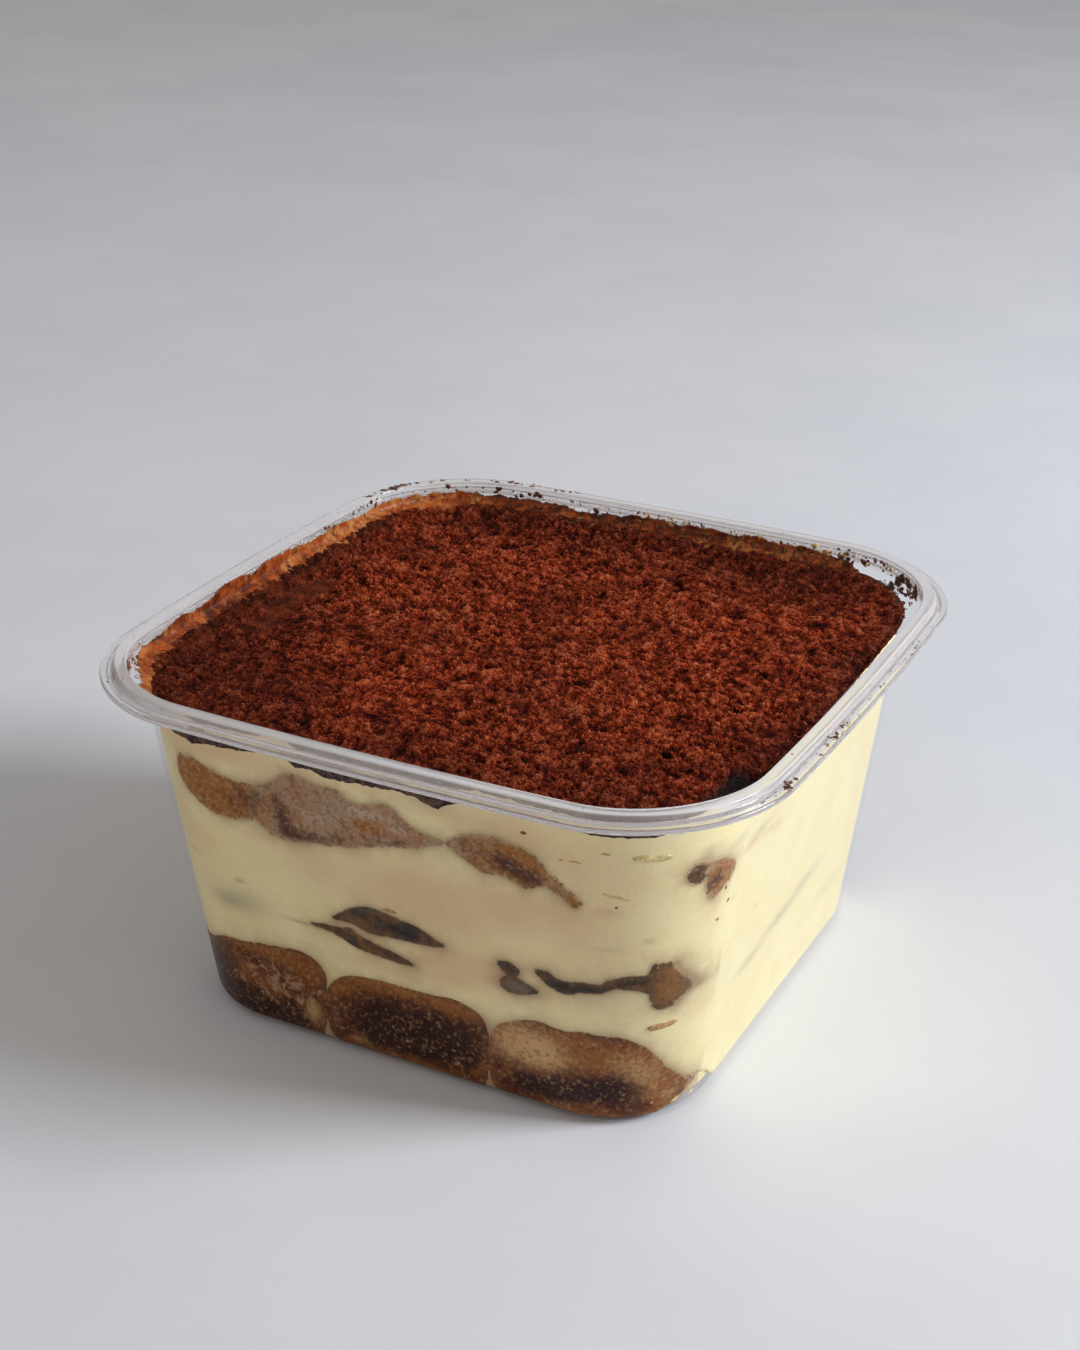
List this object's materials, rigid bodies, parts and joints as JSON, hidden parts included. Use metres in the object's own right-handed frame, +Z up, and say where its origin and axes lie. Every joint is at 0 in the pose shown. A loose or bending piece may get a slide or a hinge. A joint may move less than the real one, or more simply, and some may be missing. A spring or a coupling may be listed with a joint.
{
  "type": "tiramisu portion",
  "caption": "Layered cream and sponge finger dessert with a cocoa powder top, served in a clear square tub with rounded corners and a flanged rim.",
  "frame": {"origin": "middle of the tub's base, on the surface that it stands on", "axes": "+Z up out of the open top; -Y out of the wall whose layers the picture shows best; +X out of the wall on its right"},
  "size_m": [0.115, 0.115, 0.06],
  "materials": {
    "clear_plastic": "clear moulded plastic, glossy, a little milky at the rim",
    "cream": "soft pale yellow cream with a satin surface",
    "cocoa": "dry clumpy cocoa powder, fully matt, dark red-brown",
    "bottom_sponge": "soaked sponge, dark brown with pale mottling",
    "middle_sponge": "thin soaked sponge, grey-brown through the cream",
    "upper_sponge": "golden-brown to grey-brown sponge with an open crumb"
  },
  "bodies": {
    "root": {"tub": "clear_plastic", "cream": "cream", "cocoa": "cocoa", "bottom_finger_left": "bottom_sponge", "bottom_finger_middle": "bottom_sponge", "bottom_finger_right": "bottom_sponge", "middle_sponge_left": "middle_sponge", "middle_sponge_centre": "middle_sponge", "middle_sponge_right": "middle_sponge", "upper_sponge_left": "upper_sponge", "upper_sponge_middle": "upper_sponge", "upper_sponge_right": "upper_sponge", "upper_sponge_corner": "upper_sponge"}
  },
  "joints": []
}
